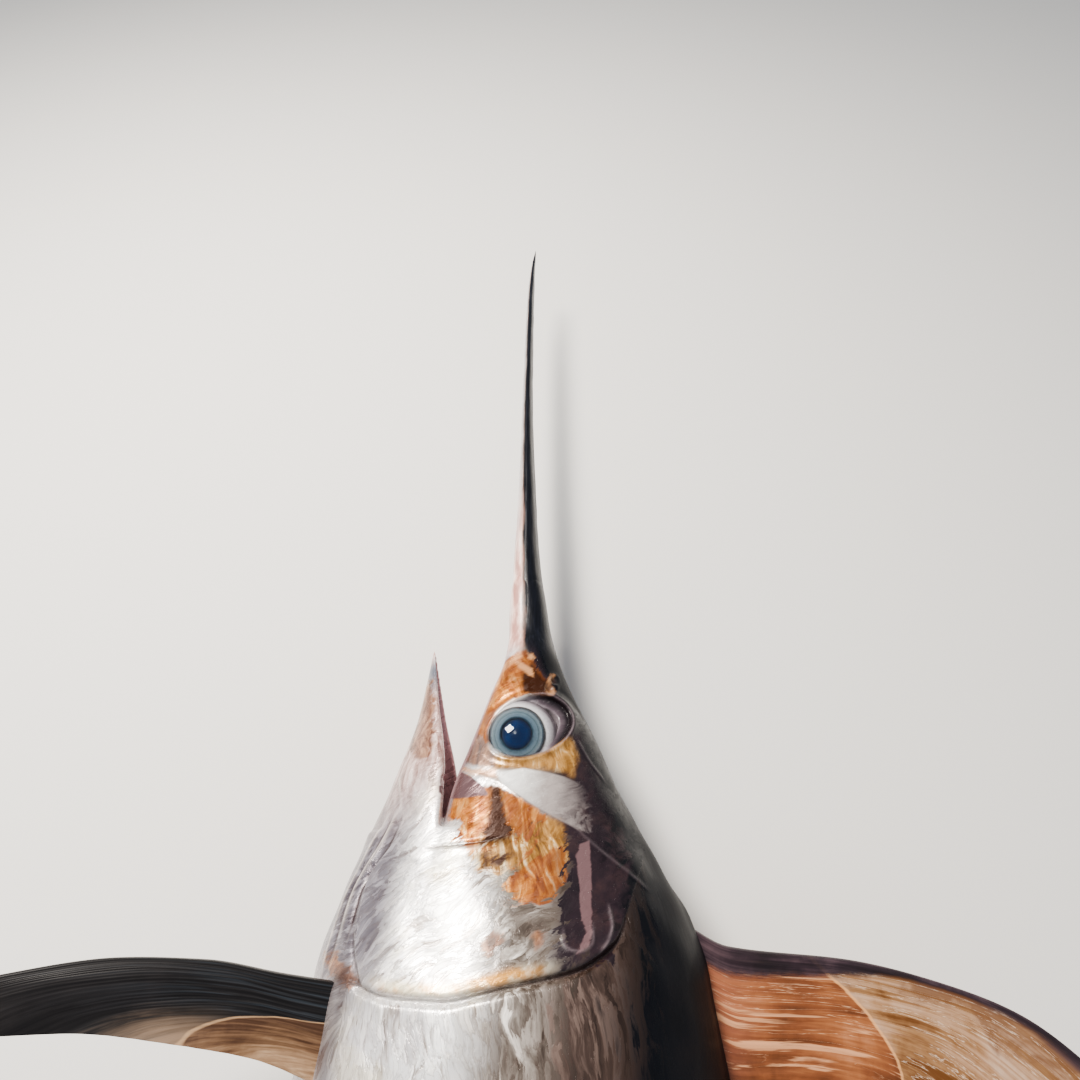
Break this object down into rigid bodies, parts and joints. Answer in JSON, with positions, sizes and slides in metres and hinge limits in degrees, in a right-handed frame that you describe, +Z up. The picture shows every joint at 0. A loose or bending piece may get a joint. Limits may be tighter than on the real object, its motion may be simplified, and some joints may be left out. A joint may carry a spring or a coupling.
{
  "type": "swordfish",
  "caption": "Life-size young swordfish lying on its right flank, mouth open, with a long flat bill, a tall sickle back fin, one side fin spread and a forked tail.",
  "frame": {"origin": "centre of the bounding box in X and Y, on the floor that the fish lies on", "axes": "+Y from the tail towards the tip of the bill, +X from the belly towards the back, +Z up through the left flank"},
  "size_m": [0.662, 1.664, 0.2145],
  "materials": {
    "silver_skin": "wet scaleless skin, silver white with a satin gloss, tan and copper patches",
    "dark_skin": "wet scaleless skin, navy black to bronze, glossy",
    "bill_skin": "thin wet skin over bone, dark above and pale grey below, glossy",
    "fin_skin": "wet fin membrane over rays, copper brown to slate",
    "mouth_skin": "moist pink lining of the mouth",
    "eye": "clear wet cornea over a blue grey iris and a navy pupil"
  },
  "bodies": {
    "root": {"bill": "bill_skin", "head": "silver_skin", "lower_jaw": "silver_skin", "eye_left": "eye", "eye_right": "eye", "gill_cover_left": "silver_skin", "gill_cover_right": "silver_skin", "trunk_front": "silver_skin", "trunk_rear": "dark_skin", "tail_stock": "dark_skin", "keel_left": "dark_skin", "keel_right": "dark_skin", "tail_fin_upper": "fin_skin", "tail_fin_lower": "fin_skin", "dorsal_fin_first": "fin_skin", "dorsal_fin_second": "fin_skin", "anal_fin_first": "fin_skin", "anal_fin_second": "fin_skin", "pectoral_fin_left": "fin_skin", "pectoral_fin_right": "fin_skin"}
  },
  "joints": []
}
